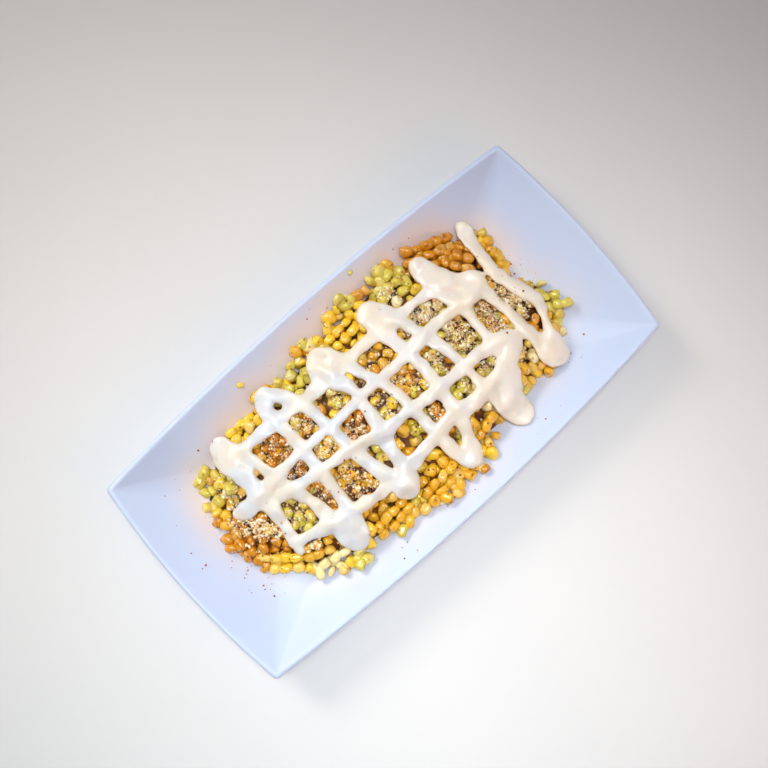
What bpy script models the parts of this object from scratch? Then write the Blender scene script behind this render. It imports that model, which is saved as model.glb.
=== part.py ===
"""Elote off the cob: a heap of cut sweetcorn in a white rectangular dish, under a lattice of crema.

Metres, +Z up. The origin is under the dish's centre, on the surface that it stands on.
+X runs along the dish and +Y across it.
"""

from math import atan2, cos, hypot, pi, radians, sin, sqrt

import bmesh
import bpy
from mathutils import Matrix, Vector, noise
from mathutils.bvhtree import BVHTree

MM = 0.001
GAP = 0.4 * MM  # left between pieces that touch
HIGH = 1.0  # a level above everything, to look down from
HEAP_GAP = 0.7 * MM  # under the heap

# The dish: a flat floor, four sloping walls that meet in creases, and a rim that bows outwards.
RIM_HALF_LENGTH = 165.2 * MM  # inner edge of the rim, at the corners
RIM_HALF_WIDTH = 77.2 * MM
RIM_BOW_LENGTH = 6.2 * MM  # how far the end walls bow out at their middle
RIM_BOW_WIDTH = 8.2 * MM
RIM_CORNER_RADIUS = 1.2 * MM
OUTER_ROUNDING = 0.4  # how much of an outset goes into the outer corners' radius
RIM_HEIGHT = 27.5 * MM  # at the middle of a side
CORNER_LIFT = 3.0 * MM  # how much higher the corners stand
FLOOR_HALF_LENGTH = 124.0 * MM
FLOOR_HALF_WIDTH = 46.0 * MM
FLOOR_CORNER_RADIUS = 20.0 * MM
FLOOR_HEIGHT = 7.5 * MM
DISH_THICKNESS = 4.2 * MM
FOOT_WIDTH = 5.0 * MM
FOOT_INSET = 3.0 * MM  # from the floor's edge to the foot's outer face
FOOT_FLARE = 1.2 * MM  # how much wider the foot is where it leaves the underside, each side
FOOT_CHAMFER = 0.6 * MM
WALL_SOFTNESS = 0.28  # how gradually the floor turns up into the wall
MEAN_WALL_RUN = 39.0 * MM
WALL_RINGS = 7
LIP_RINGS = 4
CORNER_STEPS = 4
END_STEPS = 6
SIDE_STEPS = 10

# The corn: a long low heap that fills the floor and climbs the walls a little.
HEAP_HALF_LENGTH = 136.0 * MM
HEAP_HALF_WIDTH = 68.0 * MM
CROWN_FULLNESS = 0.8  # exponent of the fall from the crown to the edge
HEAP_SQUARENESS = 3.0  # exponent of the superellipse that its outline follows
# How far the outline stands out of the superellipse, every 15 degrees round from +X.
OUTLINE_SWELL = (
    0.97, 0.93, 1.0, 1.02, 1.06, 0.99, 0.98, 0.91, 0.96, 1.0, 1.02, 1.0,
    1.01, 0.99, 0.93, 0.96, 0.97, 0.95, 1.03, 0.96, 0.9, 0.93, 1.01, 1.02,
)
HEAP_RISE = 25.0 * MM  # above the floor, at the crown
EDGE_LAYER = 8.0 * MM  # one kernel deep at its edge
EDGE_THICKNESS = 1.0 * MM
LOBE_PITCH = 9.0 * MM  # single kernels stand out of the outline
LOBE_DEPTH = 2.4 * MM
HUMP_PITCH = 42.0 * MM
HUMP_HEIGHT = 2.2 * MM
KERNEL_PITCH = 8.5 * MM
KERNEL_RELIEF = 2.6 * MM
HEAP_CELLS = (52, 26)

# The crema: squeezed on in one zigzag across the heap and two hairpins along it.
# Each row is a point of the route and half the bead's width there, in millimetres.
CROSSWISE = [
    (-104, -30, 2.6), (-101, -16, 2.7), (-99, 0, 3.8), (-99, 12, 4.6), (-99, 28, 5.2),
    (-101, 44, 6.0), (-98, 52, 5.6), (-92, 42, 4.6), (-87, 26, 2.8), (-84, 8, 3.2), (-78, -12, 3.2),
    (-76, -30, 4.6), (-75, -46, 5.6), (-71, -51, 5.6), (-67, -44, 5.4), (-63, -26, 3.2),
    (-61, -6, 3.2), (-60, 16, 3.2), (-60, 36, 3.6), (-61, 50, 4.4), (-55, 58, 4.6), (-47, 50, 4.0),
    (-41, 38, 3.4), (-38, 20, 2.9), (-37, 2, 3.0), (-35, -14, 3.8), (-31, -34, 5.0),
    (-26, -47, 7.0), (-19, -36, 4.6), (-18, -20, 3.6), (-14, -8, 4.6), (-12, 8, 3.4),
    (-11, 26, 3.6), (-19, 44, 6.0), (-14, 53, 6.6), (-5, 44, 5.0), (0, 30, 3.0), (6, 15, 3.0),
    (9, 2, 2.4), (10, -14, 2.8), (11, -34, 3.8), (12, -52, 4.0), (18, -60, 6.4), (25, -48, 3.4),
    (30, -34, 4.4), (31, -18, 3.6), (33, 2, 3.4), (32, 20, 3.6), (29, 38, 5.0), (30, 52, 7.2),
    (39, 44, 4.6), (44, 30, 3.2), (49, 14, 3.6), (53, -4, 2.8), (54, -22, 2.6), (56, -44, 5.6),
    (61, -61, 7.2), (64, -44, 6.6), (75, -30, 3.8), (77.5, -12, 3.0), (78, 4, 2.6), (79, 18, 4.4),
    (75, 38, 6.0), (75, 54, 5.8), (81, 43, 4.4), (87, 29, 5.8), (95, 19, 5.0), (97, 8, 3.2),
    (99, -6, 2.8), (100, -20, 3.2), (101, -33, 4.4), (104, -47, 8.8), (111, -33, 3.2),
    (115, -24, 1.6), (118.5, -12, 3.8), (114, 2, 3.6), (110.5, 17, 3.6), (110.5, 31, 3.8),
    (112, 45, 4.0), (114, 54, 4.4),
]
UPPER_HAIRPIN = [
    (-98, 41, 4.2), (-80, 41.5, 3.4), (-60, 41, 3.8), (-38, 39, 3.4), (-14, 40, 4.6),
    (12, 40, 3.2), (34, 39.5, 4.0), (58, 38.5, 2.8), (77, 35, 4.2), (92, 28, 4.6),
    (99, 22, 4.6), (88, 16.5, 4.8), (64, 19, 3.4), (42, 18, 4.2), (20, 16.5, 2.8),
    (-4, 17, 2.6), (-26, 15.5, 2.6), (-50, 16, 2.4), (-72, 15.5, 2.8), (-92, 13, 4.4),
    (-108, 11, 5.2), (-116, 13, 4.2),
]
LOWER_HAIRPIN = [
    (-91, 4, 3.8), (-76, 1, 2.8), (-60, -1.5, 2.8), (-44, -3.5, 2.6), (-28, -6.5, 3.6),
    (-15, -10, 5.2), (4, -10.5, 2.8), (24, -13, 3.4), (44, -13.5, 3.2), (64, -14, 3.4),
    (82, -16, 5.0), (89, -22, 5.0), (82, -28, 5.4), (64, -33, 4.0), (44, -35, 4.6),
    (24, -33, 4.6), (0, -36, 3.4), (-22, -38, 4.4), (-44, -37.5, 3.0), (-62, -34, 4.2),
    (-78, -31, 5.2), (-92, -27.5, 2.6), (-103, -24, 3.4),
]
FINGER = [(78, -26, 4.0), (74, -38, 4.4), (70, -46, 4.2)]
CREMA_SPREAD = 1.1 * MM  # how much wider than its nozzle's path a bead settles, each side
CREMA_HEIGHT = 0.62  # of a bead, as a share of its width
CREMA_SUNK = 0.30  # share of a thin bead's height that lies below its widest level
THIN_BEAD = 3.0 * MM  # half width of a thin bead
ROUTE_STEPS = 5  # points between two of a route's own points
BEAD_SIDES = 10
BEAD_TIERS = 6
CREMA_VOXEL = 1.5 * MM
CREMA_KEPT = 0.079  # share of the voxel surface's faces that stays
CREMA_REACH = 2.0 * MM  # the crema clears whatever stands this near to it
REACH_STEPS = 8

# Kernels that lie apart from the heap: x and y in millimetres, heading in degrees, size.
STRAY_KERNELS = [(39, 82, 20, 0.62), (-62, 75, 150, 0.8)]
KERNEL_LENGTH = 9.5 * MM
KERNEL_WIDTH = 8.0 * MM
KERNEL_DEPTH = 5.6 * MM
KERNEL_TAPER = 0.42  # how much narrower a kernel is at the end that was cut off the cob

PARTS = "elote"
COLOURS = {
    "porcelain": ((0.86, 0.87, 0.90, 1.0), 0.12),
    "sweetcorn": ((0.78, 0.50, 0.06, 1.0), 0.38),
    "crema": ((0.92, 0.88, 0.82, 1.0), 0.28),
}


def clear_scene():
    for obj in list(bpy.data.objects):
        bpy.data.objects.remove(obj)


def material(name):
    colour, roughness = COLOURS[name]
    made = bpy.data.materials.get(name) or bpy.data.materials.new(name)
    made.use_nodes = True
    shader = made.node_tree.nodes["Principled BSDF"]
    shader.inputs["Base Color"].default_value = colour
    shader.inputs["Roughness"].default_value = roughness
    shader.inputs["Metallic"].default_value = 0.0
    return made


def new_object(name, mesh, finish):
    made = bpy.data.objects.new(name, mesh)
    bpy.data.collections[PARTS].objects.link(made)
    made.data.materials.append(material(finish))
    return made


def mesh_from(bm, name):
    bmesh.ops.recalc_face_normals(bm, faces=bm.faces)
    mesh = bpy.data.meshes.new(name)
    bm.to_mesh(mesh)
    bm.free()
    mesh.shade_smooth()
    mesh.set_sharp_from_angle(angle=radians(50))
    return mesh


# ---------------------------------------------------------------- the dish


def mix(low, high, share):
    return low + (high - low) * share


def wall_rise(spread):
    """Height of the dish's inside above its floor, from 0 at the floor's edge to 1 at the rim."""
    return (hypot(spread, WALL_SOFTNESS) - WALL_SOFTNESS) / (hypot(1.0, WALL_SOFTNESS) - WALL_SOFTNESS)


def wall_angle(spread):
    """The wall's slope there, in radians."""
    steepness = spread / hypot(spread, WALL_SOFTNESS) / (hypot(1.0, WALL_SOFTNESS) - WALL_SOFTNESS)
    return atan2(steepness * (RIM_HEIGHT - FLOOR_HEIGHT), MEAN_WALL_RUN)


def dish_ring(spread, outset, height):
    """A closed ring of points round the dish. Spread is 0 at the floor's edge and 1 at the rim."""
    half_length = mix(FLOOR_HALF_LENGTH, RIM_HALF_LENGTH, spread) + outset
    half_width = mix(FLOOR_HALF_WIDTH, RIM_HALF_WIDTH, spread) + outset
    radius = mix(FLOOR_CORNER_RADIUS, RIM_CORNER_RADIUS, spread) + OUTER_ROUNDING * max(outset, 0.0)
    corners = [(1, 1, 0.0), (-1, 1, pi / 2), (-1, -1, pi), (1, -1, 1.5 * pi)]
    flat = []
    for index, (side_x, side_y, start) in enumerate(corners):
        centre = Vector((side_x * (half_length - radius), side_y * (half_width - radius)))
        for step in range(CORNER_STEPS + 1):
            angle = start + pi / 2 * step / CORNER_STEPS
            flat.append(centre + radius * Vector((cos(angle), sin(angle))))
        following = corners[(index + 1) % 4]
        end = Vector((following[0] * (half_length - radius), following[1] * (half_width - radius)))
        end += radius * Vector((cos(following[2]), sin(following[2])))
        begin = flat[-1]
        steps = SIDE_STEPS if index % 2 == 0 else END_STEPS
        flat.extend(begin.lerp(end, step / steps) for step in range(1, steps))
    ring = []
    for point in flat:
        along = (point.x / half_length) ** 2
        across = (point.y / half_width) ** 2
        x = point.x * (1 + spread * RIM_BOW_LENGTH / half_length * (1 - across))
        y = point.y * (1 + spread * RIM_BOW_WIDTH / half_width * (1 - along))
        ring.append(Vector((x, y, height + CORNER_LIFT * spread**2 * along * across)))
    return ring


def dish_profile():
    """The dish's section as (spread, outset, height), from the floor's edge round to its underside."""
    rise = RIM_HEIGHT - FLOOR_HEIGHT
    profile = []
    for step in range(WALL_RINGS + 1):
        spread = step / WALL_RINGS
        profile.append((spread, 0.0, FLOOR_HEIGHT + rise * wall_rise(spread)))
    slope = wall_angle(1.0)
    half = DISH_THICKNESS / 2
    for step in range(1, LIP_RINGS):
        turn = pi * step / LIP_RINGS
        out = half * ((1 - cos(turn)) * sin(slope) + sin(turn) * cos(slope))
        up = half * (sin(turn) * sin(slope) - (1 - cos(turn)) * cos(slope))
        profile.append((1.0, out, RIM_HEIGHT + up))
    for step in range(WALL_RINGS, 0, -1):
        spread = step / WALL_RINGS
        slope = wall_angle(spread)
        inner = FLOOR_HEIGHT + rise * wall_rise(spread)
        profile.append((spread, DISH_THICKNESS * sin(slope), inner - DISH_THICKNESS * cos(slope)))
    under = FLOOR_HEIGHT - DISH_THICKNESS
    foot_outer = -FOOT_INSET
    foot_inner = foot_outer - FOOT_WIDTH
    profile.append((0.0, foot_outer + FOOT_FLARE, under))
    profile.append((0.0, foot_outer, FOOT_CHAMFER))
    profile.append((0.0, foot_outer - FOOT_CHAMFER, 0.0))
    profile.append((0.0, foot_inner + FOOT_CHAMFER, 0.0))
    profile.append((0.0, foot_inner, FOOT_CHAMFER))
    profile.append((0.0, foot_inner - FOOT_FLARE, under))
    return profile


def make_dish():
    """Lofts the section round the dish by extruding one ring of edges after another."""
    bm = bmesh.new()
    first, *others = [dish_ring(*place) for place in dish_profile()]
    verts = [bm.verts.new(point) for point in first]
    edges = [bm.edges.new((a, b)) for a, b in zip(verts, verts[1:] + verts[:1])]
    bmesh.ops.contextual_create(bm, geom=edges)
    for points in others:
        made = bmesh.ops.extrude_edge_only(bm, edges=edges)["geom"]
        edges = [item for item in made if isinstance(item, bmesh.types.BMEdge)]
        fresh = [item for item in made if isinstance(item, bmesh.types.BMVert)]
        for vert, point in zip(fresh, points, strict=True):
            vert.co = point
    bmesh.ops.contextual_create(bm, geom=edges)
    return new_object("dish", mesh_from(bm, "dish"), "porcelain")


# ---------------------------------------------------------------- the corn


def height_on(tree, x, y):
    """Height of a surface straight below a high point, or None beside it."""
    hit = tree.ray_cast(Vector((x, y, HIGH)), Vector((0, 0, -1)))[0]
    return None if hit is None else hit.z


def heap_outline(x, y):
    """How far the outline stands out in that direction, as a share of the even shape."""
    turn = atan2(y / HEAP_HALF_WIDTH, x / HEAP_HALF_LENGTH) / (2 * pi) % 1.0 * len(OUTLINE_SWELL)
    before, share = int(turn), turn % 1.0
    after = (before + 1) % len(OUTLINE_SWELL)
    swell = mix(OUTLINE_SWELL[before % len(OUTLINE_SWELL)], OUTLINE_SWELL[after], share)
    return swell + noise.noise(Vector((x, y, 0.0)) / LOBE_PITCH) * LOBE_DEPTH / HEAP_HALF_WIDTH


def pile_height(reach, x, y):
    """Depth of corn at a share of the way out from the crown to the outline."""
    crown = (HEAP_RISE - EDGE_LAYER) * (1 - reach**2) ** CROWN_FULLNESS
    edge = EDGE_LAYER * sqrt(1 - reach**8)
    hump = HUMP_HEIGHT * noise.noise(Vector((x, y, 0.3)) / HUMP_PITCH) * (1 - reach**4)
    return crown + edge + hump


def heap_sheet(dish_tree):
    """The heap's smooth upper surface, on a grid whose border follows the outline."""
    bm = bmesh.new()
    columns, rows = HEAP_CELLS
    bmesh.ops.create_grid(bm, x_segments=columns, y_segments=rows, size=1.0)
    for vert in bm.verts:
        u, v = vert.co.x, vert.co.y
        reach = min(max(abs(u), abs(v)), 1.0)
        norm = (abs(u) ** HEAP_SQUARENESS + abs(v) ** HEAP_SQUARENESS) ** (1 / HEAP_SQUARENESS)
        share = reach / norm if norm else 1.0
        x = HEAP_HALF_LENGTH * u * share
        y = HEAP_HALF_WIDTH * v * share
        stretch = mix(1.0, heap_outline(x, y), reach**3)
        x, y = x * stretch, y * stretch
        rest = height_on(dish_tree, x, y) + HEAP_GAP
        vert.co = Vector((x, y, rest + EDGE_THICKNESS + pile_height(reach, x, y)))
    return bm


def make_heap(dish_tree, sheet):
    """The heap: the sheet, dented between kernels, down to the dish."""
    bm = sheet.copy()
    top = list(bm.verts)
    made = bmesh.ops.extrude_face_region(bm, geom=bm.faces[:])["geom"]
    base = [item for item in made if isinstance(item, bmesh.types.BMVert)]
    for vert in base:
        vert.co.z = height_on(dish_tree, vert.co.x, vert.co.y) + HEAP_GAP
    for vert in top:
        near = noise.voronoi(vert.co / KERNEL_PITCH)[0][0]
        depth = vert.co.z - height_on(dish_tree, vert.co.x, vert.co.y)
        vert.co.z -= min(KERNEL_RELIEF * near**2, max(depth - EDGE_LAYER / 2, 0.0))
    under = set(base)
    lowest = [face for face in bm.faces if all(vert in under for vert in face.verts)]
    bmesh.ops.dissolve_limit(
        bm, angle_limit=radians(5), verts=[vert for vert in base if not vert.is_boundary],
        edges=list({edge for face in lowest for edge in face.edges}),
    )
    return new_object("corn_heap", mesh_from(bm, "corn_heap"), "sweetcorn")


def kernel_mesh():
    """One kernel: a round crown that tapers to the end that was cut off the cob."""
    bm = bmesh.new()
    bmesh.ops.create_icosphere(bm, subdivisions=2, radius=0.5)
    for vert in bm.verts:
        pinch = 1 - KERNEL_TAPER * (0.5 - vert.co.x)
        vert.co = Vector((vert.co.x * KERNEL_LENGTH, vert.co.y * KERNEL_WIDTH * pinch,
                          vert.co.z * KERNEL_DEPTH * pinch))
    return mesh_from(bm, "stray_kernel")


def make_stray_kernels(dish_tree):
    """Each lies on the dish's wall, turned to the wall's slope."""
    shape = kernel_mesh()
    for number, (x, y, heading, size) in enumerate(STRAY_KERNELS, start=1):
        place = Vector((x * MM, y * MM, HIGH))
        hit, normal, _, _ = dish_tree.ray_cast(place, Vector((0, 0, -1)))
        tilt = Vector((0, 0, 1)).rotation_difference(normal).to_matrix().to_4x4()
        turn = Matrix.Rotation(radians(heading), 4, "Z")
        lifted = hit + normal * (KERNEL_DEPTH * size / 2 + GAP)
        mesh = shape.copy()
        mesh.transform(Matrix.Scale(size, 4))
        kernel = new_object(f"stray_kernel_{number}", mesh, "sweetcorn")
        kernel.matrix_world = Matrix.Translation(lifted) @ tilt @ turn


# ---------------------------------------------------------------- the crema


def spline(before, start, end, after, share):
    """A point of the Catmull-Rom curve that runs from start to end."""
    pull = (end - before) / 2
    push = (after - start) / 2
    bend = 3 * (end - start) - 2 * pull - push
    settle = 2 * (start - end) + pull + push
    return start + share * (pull + share * (bend + share * settle))


def smooth_route(route):
    """The route's points, with more between them on a smooth curve."""
    own = [Vector(point) * MM for point in route]
    own = [2 * own[0] - own[1], *own, 2 * own[-1] - own[-2]]
    points = []
    for number in range(1, len(own) - 2):
        corners = own[number - 1 : number + 3]
        points.extend(spline(*corners, step / ROUTE_STEPS) for step in range(ROUTE_STEPS))
    return points + [own[-2]]


def flat_beads():
    """Every bead of crema as a row of overlapping flattened spheres, laid out on the plane z = 0."""
    ball = bmesh.new()
    bmesh.ops.create_uvsphere(ball, u_segments=BEAD_SIDES, v_segments=BEAD_TIERS, radius=1.0)
    ball = mesh_from(ball, "ball")
    bm = bmesh.new()
    for route in (CROSSWISE, UPPER_HAIRPIN, LOWER_HAIRPIN, FINGER):
        for x, y, half_width in smooth_route(route):
            width = half_width + CREMA_SPREAD
            squash = Matrix.Diagonal((width, width, width * CREMA_HEIGHT, 1))
            drop = ball.copy()
            drop.transform(Matrix.Translation((x, y, 0)) @ squash)
            bm.from_mesh(drop)
            bpy.data.meshes.remove(drop)
    return mesh_from(bm, "crema_beads")


def modified(obj, kind, **settings):
    """The object's mesh as one modifier leaves it."""
    change = obj.modifiers.new(kind, kind)
    for name, value in settings.items():
        setattr(change, name, value)
    graph = bpy.context.evaluated_depsgraph_get()
    graph.update()
    mesh = bpy.data.meshes.new_from_object(obj.evaluated_get(graph))
    obj.modifiers.clear()
    return mesh


def make_crema(dish_tree, sheet_tree):
    """Fuses the beads into one net with a flat underside, and lays it over the heap and the dish."""
    crema = new_object("crema", flat_beads(), "crema")
    crema.data = modified(crema, "REMESH", mode="VOXEL", voxel_size=CREMA_VOXEL)
    level = -CREMA_SUNK * CREMA_HEIGHT * THIN_BEAD
    for vert in crema.data.vertices:
        rest = ground(dish_tree, sheet_tree, vert.co.x, vert.co.y) + GAP
        vert.co.z = rest + max(vert.co.z - level, 0.0)
    crema.data = modified(crema, "DECIMATE", ratio=CREMA_KEPT)
    crema.data.shade_smooth()
    return crema


def ground(dish_tree, sheet_tree, x, y):
    """The highest of what lies under a point and close round it."""
    highest = 0.0
    for step in range(REACH_STEPS + 1):
        reach = CREMA_REACH if step else 0.0
        near_x = x + reach * cos(2 * pi * step / REACH_STEPS)
        near_y = y + reach * sin(2 * pi * step / REACH_STEPS)
        for tree in (dish_tree, sheet_tree):
            highest = max(highest, height_on(tree, near_x, near_y) or 0.0)
    return highest


def main():
    clear_scene()
    collection = bpy.data.collections.new(PARTS)
    bpy.context.scene.collection.children.link(collection)
    dish = make_dish()
    dish_bm = bmesh.new()
    dish_bm.from_mesh(dish.data)
    dish_tree = BVHTree.FromBMesh(dish_bm)
    sheet = heap_sheet(dish_tree)
    sheet_tree = BVHTree.FromBMesh(sheet)
    make_heap(dish_tree, sheet)
    make_crema(dish_tree, sheet_tree)
    make_stray_kernels(dish_tree)


main()
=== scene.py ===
"""Looks for a platter of elote off the cob: glazed dish, heaped kernels, crema, cheese and chilli."""

from math import atan2, cos, exp, hypot, pi, radians, sin

import bmesh
import bpy
import numpy as np
from mathutils import Matrix, Vector, noise
from mathutils.bvhtree import BVHTree


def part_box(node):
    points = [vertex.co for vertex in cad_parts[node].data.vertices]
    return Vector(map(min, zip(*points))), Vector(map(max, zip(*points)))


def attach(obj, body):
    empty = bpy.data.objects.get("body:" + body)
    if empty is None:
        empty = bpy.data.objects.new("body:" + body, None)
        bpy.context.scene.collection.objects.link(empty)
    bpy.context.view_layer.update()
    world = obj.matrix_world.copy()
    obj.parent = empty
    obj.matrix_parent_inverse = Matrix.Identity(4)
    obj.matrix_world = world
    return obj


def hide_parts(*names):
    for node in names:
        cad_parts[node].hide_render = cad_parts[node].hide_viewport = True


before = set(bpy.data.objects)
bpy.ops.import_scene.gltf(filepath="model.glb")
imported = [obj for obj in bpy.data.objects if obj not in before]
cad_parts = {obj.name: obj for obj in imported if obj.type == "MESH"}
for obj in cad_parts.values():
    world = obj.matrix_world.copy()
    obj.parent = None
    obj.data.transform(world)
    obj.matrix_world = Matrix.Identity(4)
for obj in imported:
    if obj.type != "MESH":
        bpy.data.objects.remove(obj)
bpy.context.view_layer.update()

MM = 0.001
DOWN = Vector((0.0, 0.0, -1.0))
UP = Vector((0.0, 0.0, 1.0))
HIGH = 1.0  # a height above everything, to look down from
BODY = "root"
# Where each kind of chance starts, so that the platter comes out the same every time.
NOISE_SEED = 7
CORN_SEED = 11
TOPPING_SEED = 29

# ---------------- where the viewer stands

EYE = Vector((-0.0498, 0.0092, 0.6707))
EYE_TURNS = (("X", -3.612), ("Y", 3.538), ("Z", 42.099))
LENS_MM = 46.875
SENSOR_MM = 36.0
CHART_LEVEL = 28.0 * MM  # the tables below are charted on this level, as seen by the viewer

# ---------------- sizes of the dish

RIM_BOW_LENGTH = 6.2 * MM
RIM_BOW_WIDTH = 8.2 * MM
RIM_CORNER_RADIUS = 1.2 * MM
OUTER_ROUNDING = 0.4  # how much of an outset goes into the outer corners' radius
FLOOR_HALF_LENGTH = 124.0 * MM
FLOOR_HALF_WIDTH = 46.0 * MM
FLOOR_CORNER_RADIUS = 20.0 * MM
FLOOR_HEIGHT = 7.5 * MM
FLOOR_RINGS = (38, 30, 22, 14, 7)  # millimetres in from the floor's edge
CORNER_LIFT = 3.0 * MM
CORNER_LIFT_KEPT = 0.95  # share of the lift that is left where the corner is rounded
DISH_THICKNESS = 4.2 * MM
FOOT_WIDTH = 5.0 * MM
FOOT_INSET = 3.0 * MM
FOOT_FLARE = 1.2 * MM
FOOT_SOFTENING = 0.6 * MM
UNDERSIDE_RING = 20.0 * MM
WALL_SOFTNESS = 0.28
MEAN_WALL_RUN = 39.0 * MM
WALL_RINGS = 26
LIP_RINGS = 10
CORNER_STEPS = 8
END_STEPS = 16
SIDE_STEPS = 30
PAINTED_GLOW_REACH = 13.0 * MM  # how far the painted warm glow reaches out from the corn
PAINTED_GLOW_SHARES = (0.14, 0.5)  # how strong the painted glow is on the -Y and on the +Y side

# ---------------- sizes of the food

KERNEL_WIDTH = 8.9 * MM
KERNEL_THICKNESS = 6.8 * MM
KERNEL_DEPTH = 9.2 * MM
KERNEL_TAPER = 0.56  # share of its width that a kernel keeps at its cut end
KERNEL_SHAPES = (  # name, squareness, depth of the dimple, lean
    ("plump_kernel", 2.7, 0.0, 0.0),
    ("square_kernel", 3.4, 0.10, 0.03),
    ("dimpled_kernel", 3.0, 0.24, -0.04),
)
SIZE_LIMITS = (0.72, 1.22)
TOP_SPACING = 6.0 * MM
TOP_DROP = 2.8 * MM  # from the heap's surface down to a top kernel's middle
TOP_INSET = 1.2 * MM  # from the outline in to a top kernel's middle
TOP_TRIES = 24000
LOWER_SPACING = 6.9 * MM
LAYER_DROP = 4.6 * MM
LOWER_INSET = 5.0 * MM
LOWER_TRIES = 16000
RAGGED_INSET = 5.5 * MM  # how much further in the edge may stop
RAGGED_GRAIN = 95
EDGE_DEPTHS = (5.5, 9.5)  # millimetres of corn at the outline and a kernel's width inside it
EDGE_WIDTH = 9.0 * MM
EDGE_BAND = 6.0 * MM  # nearer to the outline than this, the solid has no say
SLOPE_REACH = 6.0 * MM
COVERED_FROM = 15.0 * MM  # inside the outline: corn that lies under the crema
COVERED_ROOM = 0.9 * MM
DEEPEST_COVERED, DEEPEST_BARE, HIGHEST = -2.2, -1.3, 0.9  # millimetres off a kernel's level
LOWEST_MIDDLE = 3.0 * MM
# How far a kernel leans, in radians: on its cut end, on its side or upside down, and how often.
LEANS = ((0.0, 0.6), (0.9, 1.7), (2.4, pi))
LEAN_SHARES = (0.5, 0.42, 0.08)
SLAB_PITCH = (7.0 * MM, 6.1 * MM)
SLAB_DROP = 2.6 * MM
SLAB_JITTER = 0.5
COB_RADIUS = 20.0 * MM
COB_BOW = 60.0 * MM  # the gentler curve along the cob
SHAPE_PUSH = 1.3 * MM
SHAPE_GRAIN = 5.0 * MM
CORE_SHARES = (0.955, 0.92)
CORE_DROP = 6.8 * MM
OUTLINE_LEVEL = 11.0 * MM

# The heap's outline, clockwise from its left end, in millimetres on the chart level.
OUTLINE = [
    (-136, -5), (-135, 5), (-133, 18), (-130, 30), (-127, 40), (-122, 47), (-115, 49),
    (-108, 46), (-92, 57), (-83, 59), (-66, 56), (-60, 65), (-44, 60), (-32, 63), (-16, 70),
    (-4, 66), (6, 70), (17, 75), (28, 71), (40, 69), (50, 71), (58, 72), (63, 66), (72, 68),
    (85, 69), (95, 64), (102, 56), (108, 50), (122, 45), (124, 25), (118, 8), (128, -2),
    (134, -8), (130, -14), (137, -25), (135, -30), (124, -33), (118, -42), (97, -54),
    (82, -55), (72, -55), (50, -58), (40, -60), (32, -66), (25, -73), (12, -73), (0, -70),
    (-9, -72), (-22, -70), (-32, -66), (-44, -67), (-52, -64), (-62, -62), (-70, -63),
    (-82, -65), (-92, -61), (-102, -53), (-112, -46), (-125, -31), (-131, -18), (-136, -10),
]

# Beads of crema: x, y and half width in millimetres on the chart level.
CROSSWISE = [
    (-104, -30, 2.6), (-101, -16, 2.7), (-99, 0, 3.8), (-99, 12, 4.6), (-99, 28, 5.2),
    (-101, 44, 6.0), (-98, 52, 5.6), (-92, 42, 4.6), (-87, 26, 2.8), (-84, 8, 3.2),
    (-78, -12, 3.2), (-76, -30, 4.6), (-75, -46, 5.6), (-71, -51, 5.6), (-67, -44, 5.4),
    (-63, -26, 3.2), (-61, -6, 3.2), (-60, 16, 3.2), (-60, 36, 3.6), (-61, 50, 4.4),
    (-55, 58, 4.6), (-47, 50, 4.0), (-41, 38, 3.4), (-38, 20, 2.9), (-37, 2, 3.0),
    (-35, -14, 3.8), (-31, -34, 5.0), (-26, -47, 7.0), (-19, -36, 4.6), (-18, -20, 3.6),
    (-14, -8, 4.6), (-12, 8, 3.4), (-11, 26, 3.6), (-19, 44, 6.0), (-14, 53, 6.6),
    (-5, 44, 5.0), (0, 30, 3.0), (6, 15, 3.0), (9, 2, 2.4), (10, -14, 2.8), (11, -34, 3.8),
    (12, -52, 4.0), (18, -60, 6.4), (25, -48, 3.4), (30, -34, 4.4), (31, -18, 3.6),
    (33, 2, 3.4), (32, 20, 3.6), (29, 38, 5.0), (30, 52, 7.2), (39, 44, 4.6), (44, 30, 3.2),
    (49, 14, 3.6), (53, -4, 2.8), (54, -22, 2.6), (56, -44, 5.6), (61, -61, 7.2),
    (64, -44, 6.6), (75, -30, 3.8), (77.5, -12, 3.0), (78, 4, 2.6), (79, 18, 4.4),
    (75, 38, 6.0), (75, 54, 5.8), (81, 43, 4.4), (87, 29, 5.8), (95, 19, 5.0), (97, 8, 3.2),
    (99, -6, 2.8), (100, -20, 3.2), (101, -33, 4.4), (104, -47, 8.8), (111, -33, 3.2),
    (115, -24, 1.6), (118.5, -12, 3.8), (114, 2, 3.6), (110.5, 17, 3.6), (110.5, 31, 3.8),
    (112, 45, 4.0), (114, 54, 4.4),
]
UPPER_HAIRPIN = [
    (-98, 41, 4.2), (-80, 41.5, 3.4), (-60, 41, 3.8), (-38, 39, 3.4), (-14, 40, 4.6),
    (12, 40, 3.2), (34, 39.5, 4.0), (58, 38.5, 2.8), (77, 35, 4.2), (92, 28, 4.6),
    (99, 22, 4.6), (88, 16.5, 4.8), (64, 19, 3.4), (42, 18, 4.2), (20, 16.5, 2.8),
    (-4, 17, 2.6), (-26, 15.5, 2.6), (-50, 16, 2.4), (-72, 15.5, 2.8), (-92, 13, 4.4),
    (-108, 11, 5.2), (-116, 13, 4.2),
]
LOWER_HAIRPIN = [
    (-91, 4, 3.8), (-76, 1, 2.8), (-60, -1.5, 2.8), (-44, -3.5, 2.6), (-28, -6.5, 3.6),
    (-15, -10, 5.2), (4, -10.5, 2.8), (24, -13, 3.4), (44, -13.5, 3.2), (64, -14, 3.4),
    (82, -16, 5.0), (89, -22, 5.0), (82, -28, 5.4), (64, -33, 4.0), (44, -35, 4.6),
    (24, -33, 4.6), (0, -36, 3.4), (-22, -38, 4.4), (-44, -37.5, 3.0), (-62, -34, 4.2),
    (-78, -31, 5.2), (-92, -27.5, 2.6), (-103, -24, 3.4),
]
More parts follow.
